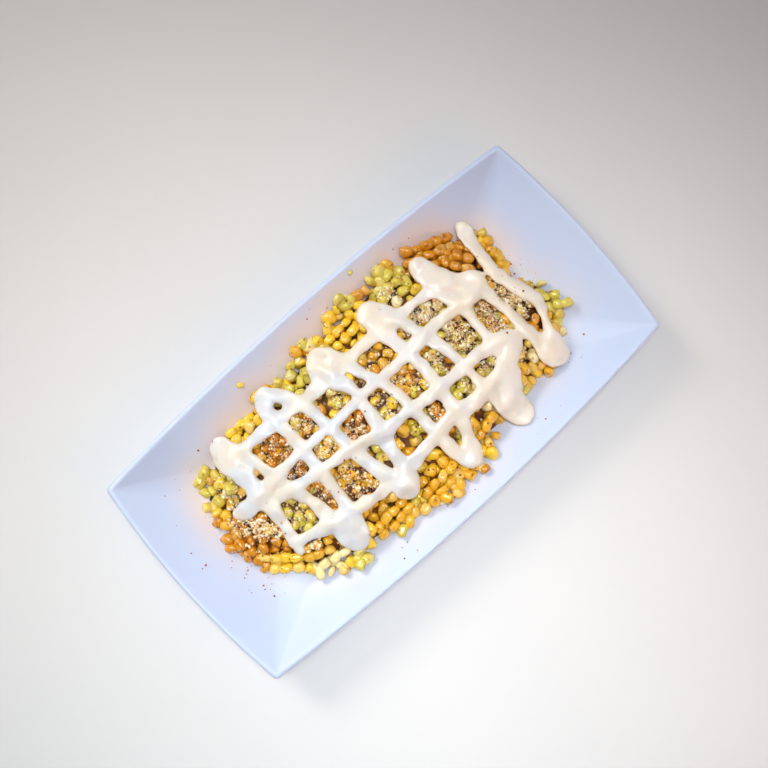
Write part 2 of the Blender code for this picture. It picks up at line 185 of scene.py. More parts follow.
FINGER = [(78, -26, 4.0), (74, -38, 4.4), (70, -46, 4.2)]
ROUTE_STEPS = 8
CREMA_VOXEL = 0.85 * MM
CREMA_SPREAD = 1.35 * MM  # how much wider than its nozzle's path a bead settles, each side
BEAD_WANDER = 0.20  # how much a bead's width comes and goes
BEAD_WANDER_GRAIN = 260
BEAD_HEIGHT = 1.6 * MM  # of the thinnest bead, above its middle
BEAD_FULLNESS = 0.32  # share of the half width that is added to it
CROSSING_STEP = 0.35 * MM  # how much higher a bead lies on the one before it
CREMA_SMOOTHINGS = 9
CREST_HEIGHT = 3.4 * MM
EDGE_WANDER = 1.1 * MM
EDGE_GRAIN = 130
CREMA_SWAY = 0.5 * MM
SWAY_GRAIN = 90
CREMA_LIFT = 0.5 * MM
CREMA_SAG = 2.2 * MM  # how far below its bed the crema may hang
MAP_HALF_LENGTH = 160.0 * MM
MAP_HALF_WIDTH = 90.0 * MM
MAP_PITCH = 1.0 * MM
MAP_WIDENING = 2  # in cells, as is the blur
MAP_BLUR = 2.6

# Which kind of kernel lies where: x, y and reach in millimetres on the chart level.
ZONES = [
    (-118, 40, 13, "green"), (-122, 24, 9, "yellow"), (-120, -8, 17, "roasted"),
    (-118, -28, 9, "yellow"), (-96, -36, 10, "golden"), (-90, -48, 9, "pale"),
    (-80, -59, 7, "green"), (-64, -55, 6, "yellow"), (-46, -53, 14, "golden"),
    (-12, -55, 17, "golden"), (-24, -56, 6, "green"), (25, -66, 6, "yellow"),
    (40, -52, 11, "golden"), (84, -46, 10, "golden"), (126, -8, 10, "green"),
    (130, -24, 9, "green"), (117, -35, 7, "golden"), (122, 28, 10, "golden"),
    (85, 52, 24, "roasted"), (54, 54, 13, "green"), (12, 56, 14, "yellow"),
    (22, 70, 6, "green"), (-35, 50, 11, "green"), (-78, 54, 12, "yellow"),
    (-52, 50, 5, "green"), (-73, 28, 12, "roasted"), (-48, 28, 8, "roasted"),
    (-33, 28, 6, "roasted"), (-20, 27, 8, "green"), (15, 28, 11, "golden"),
    (59, 29, 12, "green"), (-72, 8, 8, "roasted"), (-49, 6, 9, "yellow"),
    (-24, 4, 9, "roasted"), (-2, 3, 9, "yellow"), (20, 2, 10, "golden"),
    (42, 1, 8, "green"), (65, 2, 11, "green"), (87, 0, 9, "roasted"),
    (-89, -13, 10, "green"), (-68, -14, 8, "roasted"), (-47, -20, 15, "golden"),
    (-25, -20, 7, "green"), (-5, -23, 11, "golden"), (19, -23, 7, "roasted"),
    (43, -24, 8, "green"), (65, -24, 8, "green"), (105, 4, 9, "green"), (98, 42, 3, "pale"),
    (87, -38, 5, "pale"), (47, -46, 5, "pale"), (-97, -46, 7, "pale"), (-80, -51, 6, "pale"),
    (108, 18, 8, "golden"), (109, -8, 7, "green"), (106, -22, 8, "roasted"), (19, -44, 5, "green"),
]
KINDS = ("yellow", "green", "golden", "roasted", "pale")
KIND_SHARES = (0.36, 0.20, 0.24, 0.14, 0.06)
STRANGERS = 0.24  # share of the kernels that are of any kind, wherever they lie
ZONE_REACH = 1.25  # how far beyond its own reach a zone still counts
# Colour at the crown, on the flank and at the cut end, and how scorched the skin is.
KERNEL_COLOURS = {
    "yellow": ((250, 206, 52), (250, 213, 84), (250, 228, 162), 0.02),
    "green": ((217, 201, 80), (227, 211, 118), (236, 224, 170), 0.03),
    "golden": ((238, 181, 40), (240, 190, 65), (241, 206, 128), 0.04),
    "roasted": ((215, 141, 9), (223, 157, 23), (230, 186, 81), 0.10),
    "pale": ((250, 234, 172), (250, 237, 190), (250, 240, 210), 0.0),
}

# Kernels still joined in rows: x, y, heading in degrees, columns, rows, kind.
SLABS = [
    (86, 56, -20, 5, 3, "roasted"), (99, 42, -55, 3, 3, "roasted"), (-124, -8, 70, 4, 3, "roasted"),
    (-118, -28, -38, 4, 2, "yellow"), (-95, -37, -25, 3, 2, "golden"), (-46, -55, 8, 4, 2, "golden"),
    (-8, -60, 5, 4, 2, "golden"), (8, 55, 5, 3, 2, "yellow"), (-79, 54, -5, 3, 1, "yellow"),
    (38, -51, 10, 3, 1, "golden"), (-90, -48, -12, 3, 1, "pale"), (128, -22, -30, 3, 2, "green"),
]

# Where crumbs of cheese lie: x, y, reach in x, reach in y, how many.
CHEESE = [
    (-110, 28, 11, 14, 150), (-107, -6, 13, 9, 190), (-90, -12, 8, 12, 60), (-72, 8, 8, 6, 90),
    (-49, 6, 9, 7, 110), (-24, 4, 9, 7, 80), (-2, 3, 8, 12, 70), (20, 1, 9, 11, 60),
    (42, 1, 6, 10, 50), (65, 2, 10, 12, 240), (87, -3, 7, 15, 240), (59, 29, 12, 6, 170),
    (40, 28, 3, 6, 40), (-73, 28, 10, 10, 100), (-48, 28, 7, 9, 90), (-22, 27, 9, 9, 50),
    (-47, -20, 14, 15, 150), (105, 3, 12, 9, 230), (108, 18, 7, 8, 70), (65, -24, 7, 5, 60),
    (19, -23, 6, 6, 40), (43, -24, 7, 7, 30), (50, 52, 14, 10, 60), (15, 28, 10, 8, 40),
    (88, -36, 6, 6, 20), (-68, -14, 5, 10, 40), (0, 0, 120, 62, 240), (-118, 5, 12, 30, 60),
    (-119, 9, 8, 11, 170), (103, 2, 5, 8, 150), (108, -10, 6, 8, 110), (58, 30, 11, 6, 130),
    (14, 10, 7, 6, 50), (-33, 2, 5, 6, 30), (-95, -33, 6, 6, 50), (0, 28, 6, 10, 50),
]
# Where flakes of chilli lie, in the same way.
CHILLI = [
    (-72, 8, 8, 6, 110), (-73, 28, 10, 10, 100), (-24, 4, 9, 7, 80), (-47, -20, 14, 15, 150),
    (-49, 6, 9, 7, 40), (65, 2, 10, 12, 100), (87, -3, 7, 15, 170), (20, 1, 9, 11, 40),
    (-2, 3, 8, 12, 40), (-122, -8, 12, 14, 50), (105, 3, 12, 9, 60), (42, 1, 6, 10, 30),
    (-48, 28, 7, 9, 30), (-5, 26, 4, 7, 20), (0, 0, 130, 66, 260), (-10, -55, 18, 10, 20),
    (-132, -30, 14, 16, 16), (122, 20, 14, 14, 12), (110, -54, 22, 10, 9), (-110, 55, 40, 12, 12),
    (10, -76, 90, 7, 14), (20, 74, 90, 8, 10), (-148, 10, 12, 30, 6),
    (-68, -14, 6, 10, 50), (112, -2, 8, 16, 60), (-105, -20, 12, 14, 80),
]
FINE_DUST = [(128, 6, 10, 14, 260), (-128, -36, 14, 12, 120), (-134, 22, 10, 20, 90)]
# Smallest and largest bits, and the share of them that stays where it falls on crema.
CHEESE_BITS = (1.0 * MM, 3.2 * MM, 0.02)
DUST_BITS = (0.35 * MM, 0.9 * MM, 0.2)
CHILLI_BITS = (0.7 * MM, 1.9 * MM, 0.05)
TOPPING_LEVEL = 24.0 * MM
STREW_SPREAD = 0.55  # a power: 0.5 is even, 1 gathers at the middle
SMALL_BITS = 2.2  # a power: the higher it is, the more of the bits are small
BIT_RISE = 0.22  # share of its size that a bit's middle stands above what it lies on
STRAY_KINDS = ((1, "green", 20), (2, "yellow", 150))  # number, kind, heading in degrees
STRAY_LEAN = 86  # degrees from upright
STRAY_EXTRA = 1.12  # how much larger than the solid's box allows


# ---------------- small helpers


def mix(low, high, share):
    return low + (high - low) * share


def between(low, value, high):
    """The value, kept from leaving the bounds."""
    return min(max(value, low), high)


def off_chart(x, y, z):
    """Where a point at height z truly is, when the chart shows it at x and y."""
    stretch = (EYE.z - z) / (EYE.z - CHART_LEVEL)
    return EYE.x + (x - EYE.x) * stretch, EYE.y + (y - EYE.y) * stretch


def on_chart(x, y, z):
    """The reverse: where the chart shows a point."""
    shrink = (EYE.z - CHART_LEVEL) / (EYE.z - z)
    return EYE.x + (x - EYE.x) * shrink, EYE.y + (y - EYE.y) * shrink


def in_scene(name, data):
    """A new object in the scene, carrying a mesh, a lamp or a lens."""
    made = bpy.data.objects.new(name, data)
    bpy.context.scene.collection.objects.link(made)
    return made


def new_piece(name, mesh, finish, slot, *replaced):
    """A finished piece: its material, its body, and what it stands for; its slot is not used."""
    piece = in_scene(name, mesh)
    mesh.materials.clear()
    mesh.materials.append(finish)
    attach(piece, BODY)
    if replaced:
        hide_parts(*replaced)
    return piece


def to_mesh(bm, name, smooth=True):
    """The mesh of an edit mesh, which is freed."""
    bmesh.ops.recalc_face_normals(bm, faces=bm.faces)
    mesh = bpy.data.meshes.new(name)
    bm.to_mesh(mesh)
    bm.free()
    if smooth:
        mesh.shade_smooth()
    return mesh


def tree_of(*meshes):
    """One search tree over several meshes, and which mesh each of its faces came from."""
    corners, faces, owners = [], [], []
    for number, mesh in enumerate(meshes):
        start = len(corners)
        corners.extend(vert.co.copy() for vert in mesh.vertices)
        faces.extend([start + index for index in face.vertices] for face in mesh.polygons)
        owners.extend([number] * len(mesh.polygons))
    return BVHTree.FromPolygons(corners, faces), owners


def height_under(tree, x, y):
    """Height of whatever lies there, seen from above; 0 where nothing does."""
    hit = tree.ray_cast(Vector((x, y, HIGH)), DOWN)[0]
    return hit.z if hit is not None else 0.0


def spline(before, start, end, after, share):
    """A point of the smooth curve that runs from start to end."""
    pull = (end - before) / 2
    push = (after - start) / 2
    bend = 3 * (end - start) - 2 * pull - push
    settle = 2 * (start - end) + pull + push
    return start + share * (pull + share * (bend + share * settle))


def smooth_route(route):
    """The route's points, with more between them on a smooth curve."""
    own = [Vector(point) * MM for point in route]
    own = [2 * own[0] - own[1], *own, 2 * own[-1] - own[-2]]
    points = []
    for number in range(1, len(own) - 2):
        corners = own[number - 1 : number + 3]
        points.extend(spline(*corners, step / ROUTE_STEPS) for step in range(ROUTE_STEPS))
    return points + [own[-2]]


def arrays_of(template):
    """A mesh as arrays: its points, its faces' corners, its faces' sizes and its crown values."""
    points = np.empty(len(template.vertices) * 3)
    template.vertices.foreach_get("co", points)
    loops = np.empty(len(template.loops), dtype=np.int32)
    template.loops.foreach_get("vertex_index", loops)
    totals = np.empty(len(template.polygons), dtype=np.int32)
    template.polygons.foreach_get("loop_total", totals)
    crowns = np.ones(len(template.vertices))
    if "crown" in template.attributes:
        template.attributes["crown"].data.foreach_get("value", crowns)
    return points.reshape(-1, 3), loops, totals, crowns


def label_points(mesh, label, values):
    """Stores one value for each of a mesh's points."""
    mesh.attributes.new(label, "FLOAT", "POINT").data.foreach_set("value", values)


def scatter(name, templates, places, **values):
    """One mesh of many copies. Each place is (template number, 4x4 matrix)."""
    shapes = [arrays_of(template) for template in templates]
    points, loops, totals, crowns, owners = [], [], [], [], []
    count = 0
    for number, (shape, matrix) in enumerate(places):
        shape_points, shape_loops, shape_totals, shape_crowns = shapes[shape]
        turn = np.array(matrix.to_3x3())
        points.append(shape_points @ turn.T + np.array(matrix.translation))
        loops.append(shape_loops + count)
        totals.append(shape_totals)
        crowns.append(shape_crowns)
        owners.append(np.full(len(shape_points), number))
        count += len(shape_points)
    points, loops, totals = np.vstack(points), np.concatenate(loops), np.concatenate(totals)
    owners = np.concatenate(owners)
    mesh = bpy.data.meshes.new(name)
    mesh.vertices.add(len(points))
    mesh.vertices.foreach_set("co", points.ravel())
    mesh.loops.add(len(loops))
    mesh.loops.foreach_set("vertex_index", loops)
    mesh.polygons.add(len(totals))
    mesh.polygons.foreach_set("loop_start", np.concatenate([[0], np.cumsum(totals)[:-1]]))
    mesh.update(calc_edges=True)
    mesh.validate()
    label_points(mesh, "crown", np.concatenate(crowns))
    for label, array in values.items():
        label_points(mesh, label, np.asarray(array, dtype=float)[owners])
    return mesh


def unsettle(mesh, reach, grain):
    """Pushes a mesh's points about, so that no two copies keep the same shape."""
    points = np.empty(len(mesh.vertices) * 3)
    mesh.vertices.foreach_get("co", points)
    for start in range(0, len(points), 3):
        push = noise.noise_vector(Vector(points[start : start + 3]) / grain)
        points[start : start + 3] += np.array(push) * reach
    mesh.vertices.foreach_set("co", points)
    mesh.update()


def placed(point, up, heading, scale):
    """The matrix that stands a template on a point with its top towards up."""
    tilt = UP.rotation_difference(Vector(up).normalized()).to_matrix().to_4x4()
    return (
        Matrix.Translation(point) @ tilt @ Matrix.Rotation(heading, 4, "Z") @ Matrix.Diagonal((*scale, 1))
    )


# ---------------- materials


class Finish:
    """A material under construction: short ways to place and join its nodes."""

    def __init__(self, name, **settings):
        self.material = bpy.data.materials.new(name)
        self.material.use_nodes = True
        self.tree = self.material.node_tree
        self.shader = self.tree.nodes["Principled BSDF"]
        self.place = self.tree.nodes.new("ShaderNodeTexCoord").outputs["Object"]
        for label, value in settings.items():
            self.shader.inputs[label.replace("_", " ")].default_value = value

    def node(self, kind, **inputs):
        made = self.tree.nodes.new(kind)
        for label, value in inputs.items():
            self.feed(made.inputs[label.replace("_", " ")], value)
        return made

    def feed(self, socket, value):
        if isinstance(value, bpy.types.NodeSocket):
            self.tree.links.new(value, socket)
        else:
            socket.default_value = value

    def group(self, name, **inputs):
        made = self.tree.nodes.new("ShaderNodeGroup")
        made.node_tree = bpy.data.node_groups[name]
        for label, value in inputs.items():
            self.feed(made.inputs[label.replace("_", " ")], value)
        return made.outputs[0]

    def blend(self, share, low, high):
        made = self.tree.nodes.new("ShaderNodeMix")
        made.data_type = "RGBA"
        self.feed(made.inputs[0], share)
        self.feed(made.inputs[6], low)
        self.feed(made.inputs[7], high)
        return made.outputs[2]

    def attribute(self, name):
        made = self.tree.nodes.new("ShaderNodeAttribute")
        made.attribute_name = name
        return made.outputs["Fac"]

    def blotch(self, scale, detail, start, end):
        """Soft patches: 0 where the cloud is below the start and 1 where it is above the end."""
        return self.group("blotch", Place=self.place, Scale=scale, Detail=detail, Start=start, End=end)

    def span(self, value, start, end, low=0.0, high=1.0):
        """Runs from low to high while the value runs from start to end."""
        bounds = {"From_Min": start, "From_Max": end, "To_Min": low, "To_Max": high}
        return self.node("ShaderNodeMapRange", Value=value, **bounds).outputs["Result"]

    def drive(self, **inputs):
        for label, value in inputs.items():
            self.feed(self.shader.inputs[label.replace("_", " ")], value)

    def relief(self, broad, fine, share, strength, distance):
        """Feeds the shader's normal from the skin relief group."""
        height = self.group("skin_relief", Place=self.place, Broad=broad, Fine=fine, Fine_Share=share)
        bump = self.node("ShaderNodeBump", Strength=strength, Distance=distance, Height=height)
        self.drive(Normal=bump.outputs["Normal"])


def rgb(red, green, blue):
    """A colour as a screen shows it, from 0 to 255 each, made linear."""
    shares = [value / 255 for value in (red, green, blue)]
    return (*[s / 12.92 if s <= 0.04045 else ((s + 0.055) / 1.055) ** 2.4 for s in shares], 1.0)


def open_group(name, inputs, output):
    """An empty shader node group with named sockets."""
    group = bpy.data.node_groups.new(name, "ShaderNodeTree")
    for label, kind, value in inputs:
        socket = group.interface.new_socket(label, in_out="INPUT", socket_type=kind)
        if value is not None:
            socket.default_value = value
    group.interface.new_socket(output[0], in_out="OUTPUT", socket_type=output[1])
    return group, group.nodes.new("NodeGroupInput"), group.nodes.new("NodeGroupOutput")


def make_blotch_group():
    """Soft patches: 0 between them and 1 inside them."""
    group, given, result = open_group(
        "blotch",
        [("Place", "NodeSocketVector", None), ("Scale", "NodeSocketFloat", 100.0),
         ("Detail", "NodeSocketFloat", 3.0), ("Start", "NodeSocketFloat", 0.45),
         ("End", "NodeSocketFloat", 0.65)],
        ("Mask", "NodeSocketFloat"),
    )
    cloud = group.nodes.new("ShaderNodeTexNoise")
    reach = group.nodes.new("ShaderNodeMapRange")
    reach.interpolation_type = "SMOOTHSTEP"
    for source, output, target, socket in (
        (given, "Place", cloud, "Vector"), (given, "Scale", cloud, "Scale"),
        (given, "Detail", cloud, "Detail"), (cloud, "Fac", reach, "Value"),
        (given, "Start", reach, "From Min"), (given, "End", reach, "From Max"),
        (reach, "Result", result, "Mask"),
    ):
        group.links.new(source.outputs[output], target.inputs[socket])


def make_skin_group():
    """The small unevenness of a soft or grainy skin, as a height."""
    group, given, result = open_group(
        "skin_relief",
        [("Place", "NodeSocketVector", None), ("Broad", "NodeSocketFloat", 150.0),
         ("Fine", "NodeSocketFloat", 900.0), ("Fine Share", "NodeSocketFloat", 0.3)],
        ("Height", "NodeSocketFloat"),
    )
    broad = group.nodes.new("ShaderNodeTexNoise")
    fine = group.nodes.new("ShaderNodeTexNoise")
    both = group.nodes.new("ShaderNodeMix")
    links = group.links
    for cloud, label in ((broad, "Broad"), (fine, "Fine")):
        links.new(given.outputs["Place"], cloud.inputs["Vector"])
        links.new(given.outputs[label], cloud.inputs["Scale"])
        cloud.inputs["Detail"].default_value = 2.0
    links.new(given.outputs["Fine Share"], both.inputs[0])
    links.new(broad.outputs["Fac"], both.inputs[2])
    links.new(fine.outputs["Fac"], both.inputs[3])
    links.new(both.outputs[0], result.inputs["Height"])


def glaze_finish():
    """White glaze with a cool cast, a few specks, and a painted warm glow round the corn, standing in for
    light thrown off it.
    """
    finish = Finish(
        "porcelain_glaze", Specular_IOR_Level=0.4, Coat_Weight=0.06, Coat_Roughness=0.25, IOR=1.5
    )
    clouds = finish.blotch(9.0, 2.0, 0.35, 0.7)
    colour = finish.blend(clouds, rgb(201, 215, 246), rgb(206, 219, 248))
    specks = finish.blotch(1400.0, 1.0, 0.76, 0.8)
    colour = finish.blend(specks, colour, rgb(186, 190, 204))
    # painted glow: warm light off the corn, painted into the glaze round it
    colour = finish.blend(finish.attribute("painted_glow"), colour, rgb(250, 212, 178))
    wear = finish.blotch(55.0, 4.0, 0.4, 0.75)
    finish.drive(Base_Color=colour, Roughness=finish.span(wear, 0.0, 1.0, 0.40, 0.48))
    finish.relief(45.0, 600.0, 0.08, 0.10, 0.0006)
    return finish.material


def kernel_finish(kind, crown_colour, flank_colour, cut_colour, char):
    """A kernel's skin: deep at the crown, paler down to the cut end, with scorched patches."""
    finish = Finish(
        f"{kind}_corn", Subsurface_Weight=0.25, Subsurface_Radius=(0.003, 0.0024, 0.0010),
        Subsurface_Scale=0.7, Coat_Weight=0.8, Coat_Roughness=0.08, IOR=1.42,
    )
    crown = finish.attribute("crown")
    tone = finish.attribute("tone")
    colour = finish.blend(finish.span(crown, 0.25, 0.75), rgb(*flank_colour), rgb(*crown_colour))
    for share, shade in (
        (finish.span(crown, 0.22, 0.02), cut_colour),
        (finish.span(tone, 0.5, 1.0, high=0.4), (226, 150, 14)),
        (finish.span(tone, 0.35, 0.0, high=0.6), (242, 216, 132)),
    ):
        colour = finish.blend(share, colour, rgb(*shade))
    patches = finish.blotch(210.0, 3.0, 0.62 - char, 0.74)
    colour = finish.blend(patches, colour, rgb(158, 88, 10))
    finish.drive(Base_Color=colour)
    rough = finish.blotch(420.0, 2.0, 0.3, 0.7)
    finish.drive(Roughness=finish.span(rough, 0.0, 1.0, 0.22, 0.42))
    finish.relief(320.0, 1500.0, 0.25, 0.35, 0.0006)
    return finish.material


def painted_shade_core_finish():
    """Corn deep in the heap, painted dark brown: painted shade for the gaps between the kernels that
    show.
    """
    finish = Finish("shaded_corn", Roughness=0.6)
    patches = finish.blotch(160.0, 3.0, 0.35, 0.65)
    # dark brown: painted shade between the kernels that show
    finish.drive(Base_Color=finish.blend(patches, rgb(72, 36, 6), rgb(132, 76, 10)))
    finish.relief(150.0, 700.0, 0.3, 0.6, 0.002)
    return finish.material


def crema_finish():
    """Cream: white where it lies thick, peach at its low thin edges, partly the corn's colour showing
    through and partly painted warm shade; warmer towards +X, partly a chilli-oil tint and partly painted
    warm light.
    """
    finish = Finish(
        "crema_cream", Subsurface_Weight=0.5, Subsurface_Radius=(0.007, 0.0045, 0.003),
        Subsurface_Scale=0.8, Coat_Weight=0.2, Coat_Roughness=0.2, IOR=1.42,
    )
    patches = finish.blotch(30.0, 3.0, 0.42, 0.62)
    colour = finish.blend(patches, rgb(220, 223, 229), rgb(231, 222, 210))
    along = finish.node("ShaderNodeSeparateXYZ", Vector=finish.place).outputs["X"]
    # painted warm light: peach towards +X, where warm light falls, partly a chilli-oil tint of the crema
    colour = finish.blend(finish.span(along, -0.03, 0.09, high=0.7), colour, rgb(248, 232, 215))
    # painted warm shade at the low edges, partly the corn showing through thin crema
    thin_edge_shade = finish.span(finish.attribute("crown"), 0.6, 0.05, high=0.8)
    colour = finish.blend(thin_edge_shade, colour, rgb(240, 208, 174))
    finish.drive(Base_Color=colour)
    rough = finish.blotch(120.0, 3.0, 0.3, 0.7)
    finish.drive(Roughness=finish.span(rough, 0.0, 1.0, 0.26, 0.4))
    finish.relief(90.0, 500.0, 0.15, 0.2, 0.0012)
    return finish.material


def cheese_finish():
    """Crumbs from cream to the tan of those that have soaked up chilli and butter."""
    finish = Finish(
        "crumbled_cheese", Subsurface_Weight=0.2, Subsurface_Radius=(0.002, 0.0015, 0.001),
        Subsurface_Scale=0.5,
    )
    patches = finish.blotch(260.0, 3.0, 0.35, 0.65)
    colour = finish.blend(patches, rgb(254, 246, 222), rgb(248, 230, 184))
    soaked = finish.span(finish.attribute("tone"), 0.35, 1.0)
    colour = finish.blend(soaked, colour, rgb(226, 164, 96))
    finish.drive(Base_Color=colour, Roughness=0.55)
    finish.relief(700.0, 2400.0, 0.5, 0.6, 0.0005)
    return finish.material


def chilli_finish():
    """Ground chilli, brick red to tan."""
    finish = Finish("ground_chilli", Roughness=0.55)
    patches = finish.blotch(380.0, 2.0, 0.35, 0.65)
    finish.drive(Base_Color=finish.blend(patches, rgb(140, 62, 28), rgb(190, 104, 46)))
    finish.relief(900.0, 2600.0, 0.5, 0.4, 0.0004)
    return finish.material


def floor_finish():
    """A plain pale floor."""
    finish = Finish("pale_floor", Roughness=0.7)
    patches = finish.blotch(3.0, 2.0, 0.3, 0.7)
    finish.drive(Base_Color=finish.blend(patches, rgb(226, 226, 228), rgb(230, 230, 232)))
    return finish.material


# ---------------- the dish


def wall_rise(spread):
    """Height of the dish's inside above its floor, from 0 at the floor's edge to 1 at the rim."""
    return (hypot(spread, WALL_SOFTNESS) - WALL_SOFTNESS) / (hypot(1.0, WALL_SOFTNESS) - WALL_SOFTNESS)


def rim_sizes():
    """The rim's inner half length and half width at the corners, and its height at mid-side."""
    _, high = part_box("dish")
    rim_height = high[2] - CORNER_LIFT * CORNER_LIFT_KEPT
    slope = wall_angle(1.0, rim_height)
    lip = max(lip_reach(turn, slope) for turn in np.linspace(0, pi, 40))
    reach = max(DISH_THICKNESS * sin(slope), lip)
    return high[0] - RIM_BOW_LENGTH - reach, high[1] - RIM_BOW_WIDTH - reach, rim_height


def lip_reach(turn, slope):
    """How far out the rounded lip has come, after so much of its half turn."""
    return DISH_THICKNESS / 2 * ((1 - cos(turn)) * sin(slope) + sin(turn) * cos(slope))


def wall_angle(spread, rim_height):
    """The wall's slope there, in radians."""
    steepness = spread / hypot(spread, WALL_SOFTNESS) / (hypot(1.0, WALL_SOFTNESS) - WALL_SOFTNESS)
    return atan2(steepness * (rim_height - FLOOR_HEIGHT), MEAN_WALL_RUN)


def dish_ring(spread, outset, height, rim_half_length, rim_half_width):
    """A closed ring of points round the dish. Spread is 0 at the floor's edge and 1 at the rim."""
    half_length = mix(FLOOR_HALF_LENGTH, rim_half_length, spread) + outset
    half_width = mix(FLOOR_HALF_WIDTH, rim_half_width, spread) + outset
    radius = mix(FLOOR_CORNER_RADIUS, RIM_CORNER_RADIUS, spread) + OUTER_ROUNDING * max(outset, 0.0)
    corners = [(1, 1, 0.0), (-1, 1, pi / 2), (-1, -1, pi), (1, -1, 1.5 * pi)]
    flat = []
    for index, (side_x, side_y, start) in enumerate(corners):
        centre = Vector((side_x * (half_length - radius), side_y * (half_width - radius)))
        for step in range(CORNER_STEPS + 1):
            angle = start + pi / 2 * step / CORNER_STEPS
            flat.append(centre + radius * Vector((cos(angle), sin(angle))))
        following = corners[(index + 1) % 4]
        end = Vector((following[0] * (half_length - radius), following[1] * (half_width - radius)))
        end += radius * Vector((cos(following[2]), sin(following[2])))
        begin = flat[-1]
        steps = SIDE_STEPS if index % 2 == 0 else END_STEPS
        flat.extend(begin.lerp(end, step / steps) for step in range(1, steps))
    ring = []
    for point in flat:
        along = (point.x / half_length) ** 2
        across = (point.y / half_width) ** 2
        x = point.x * (1 + spread * RIM_BOW_LENGTH / half_length * (1 - across))
        y = point.y * (1 + spread * RIM_BOW_WIDTH / half_width * (1 - along))
        ring.append(Vector((x, y, height + CORNER_LIFT * spread**2 * along * across)))
    return ring


def dish_profile(rim_height):
    """The dish's section as (spread, outset, height), from the floor's middle round to its underside."""
    rise = rim_height - FLOOR_HEIGHT
    profile = [(0.0, -inset * MM, FLOOR_HEIGHT) for inset in FLOOR_RINGS]
    for step in range(WALL_RINGS + 1):
        spread = step / WALL_RINGS
        profile.append((spread, 0.0, FLOOR_HEIGHT + rise * wall_rise(spread)))
    slope = wall_angle(1.0, rim_height)
    for step in range(1, LIP_RINGS):
        turn = pi * step / LIP_RINGS
        up = DISH_THICKNESS / 2 * (sin(turn) * sin(slope) - (1 - cos(turn)) * cos(slope))
        profile.append((1.0, lip_reach(turn, slope), rim_height + up))
    for step in range(WALL_RINGS, 0, -1):
        spread = step / WALL_RINGS
        slope = wall_angle(spread, rim_height)
        inner = FLOOR_HEIGHT + rise * wall_rise(spread)
        profile.append((spread, DISH_THICKNESS * sin(slope), inner - DISH_THICKNESS * cos(slope)))
    under = FLOOR_HEIGHT - DISH_THICKNESS
    outer, inner = -FOOT_INSET, -FOOT_INSET - FOOT_WIDTH
    for inset, height in (
        (outer + FOOT_FLARE, under), (outer + 0.4 * MM, under - FOOT_SOFTENING),
        (outer, 0.8 * MM), (outer - 0.2 * MM, 0.3 * MM), (outer - FOOT_SOFTENING, 0.0),
        (inner + FOOT_SOFTENING, 0.0), (inner + 0.2 * MM, 0.3 * MM), (inner, 0.8 * MM),
        (inner - 0.4 * MM, under - FOOT_SOFTENING), (inner - FOOT_FLARE, under),
        (inner - UNDERSIDE_RING, under),
    ):
        profile.append((0.0, inset, height))
    return profile


def make_dish():
    """Lofts the section round the dish by extruding one ring of edges after another."""
    half_length, half_width, rim_height = rim_sizes()
    bm = bmesh.new()
    first, *others = [dish_ring(*place, half_length, half_width) for place in dish_profile(rim_height)]
    verts = [bm.verts.new(point) for point in first]
    edges = [bm.edges.new((a, b)) for a, b in zip(verts, verts[1:] + verts[:1])]
    bmesh.ops.contextual_create(bm, geom=edges)
    for points in others:
        made = bmesh.ops.extrude_edge_only(bm, edges=edges)["geom"]
        edges = [item for item in made if isinstance(item, bmesh.types.BMEdge)]
        fresh = [item for item in made if isinstance(item, bmesh.types.BMVert)]
        for vert, point in zip(fresh, points, strict=True):
            vert.co = point
    bmesh.ops.contextual_create(bm, geom=edges)
    mesh = to_mesh(bm, "glazed_dish")
    painted_glow_film(mesh, len(first))
    return mesh


def painted_glow_film(mesh, ring_size):
    """Marks where the glaze gets a painted warm glow, standing in for light thrown off the corn: round
    the corn, stronger on the +Y side.
    """
    outline = heap_outline()
    inner_points = ring_size * (len(FLOOR_RINGS) + WALL_RINGS + 1)
    shares = []
    for vert in mesh.vertices:
        gap = max(-distance_inside(vert.co.x, vert.co.y, outline), 0.0)
        side = mix(*PAINTED_GLOW_SHARES, between(0.0, (vert.co.y + 10 * MM) / (40 * MM), 1.0))
        inner = vert.index < inner_points
        shares.append(side * exp(-((gap / PAINTED_GLOW_REACH) ** 2)) if inner else 0.0)
    label_points(mesh, "painted_glow", shares)


# ---------------- the corn


def kernel_template(name, squareness, dimple, lean):
    """A kernel standing on its cut end: a plump crown that narrows down to the cob side."""
    bm = bmesh.new()
    bmesh.ops.create_cube(bm, size=2.0)
    bmesh.ops.subdivide_edges(bm, edges=bm.edges[:], cuts=2, use_grid_fill=True)
    for vert in bm.verts:
        size = sum(abs(value) ** squareness for value in vert.co) ** (1 / squareness)
        point = vert.co / size
        height = (point.z + 1) / 2
        taper = mix(KERNEL_TAPER, 1.0, min(height * 1.35, 1.0) ** 0.8)
        flatten = between(-0.78, point.z, 1.0)
        sunk = dimple * max(0.0, 1 - (point.x**2 + point.y**2) * 3.0) * max(point.z, 0.0)
        vert.co = Vector((
            point.x * KERNEL_WIDTH / 2 * taper + lean * KERNEL_WIDTH * (height - 0.5),
            point.y * KERNEL_THICKNESS / 2 * mix(0.72, 1.0, height),
            (flatten - sunk) * KERNEL_DEPTH / 2,
        ))
    crowns = [(vert.co.z / (KERNEL_DEPTH / 2) + 1) / 2 for vert in bm.verts]
    mesh = to_mesh(bm, name)
    label_points(mesh, "crown", crowns)
    return mesh


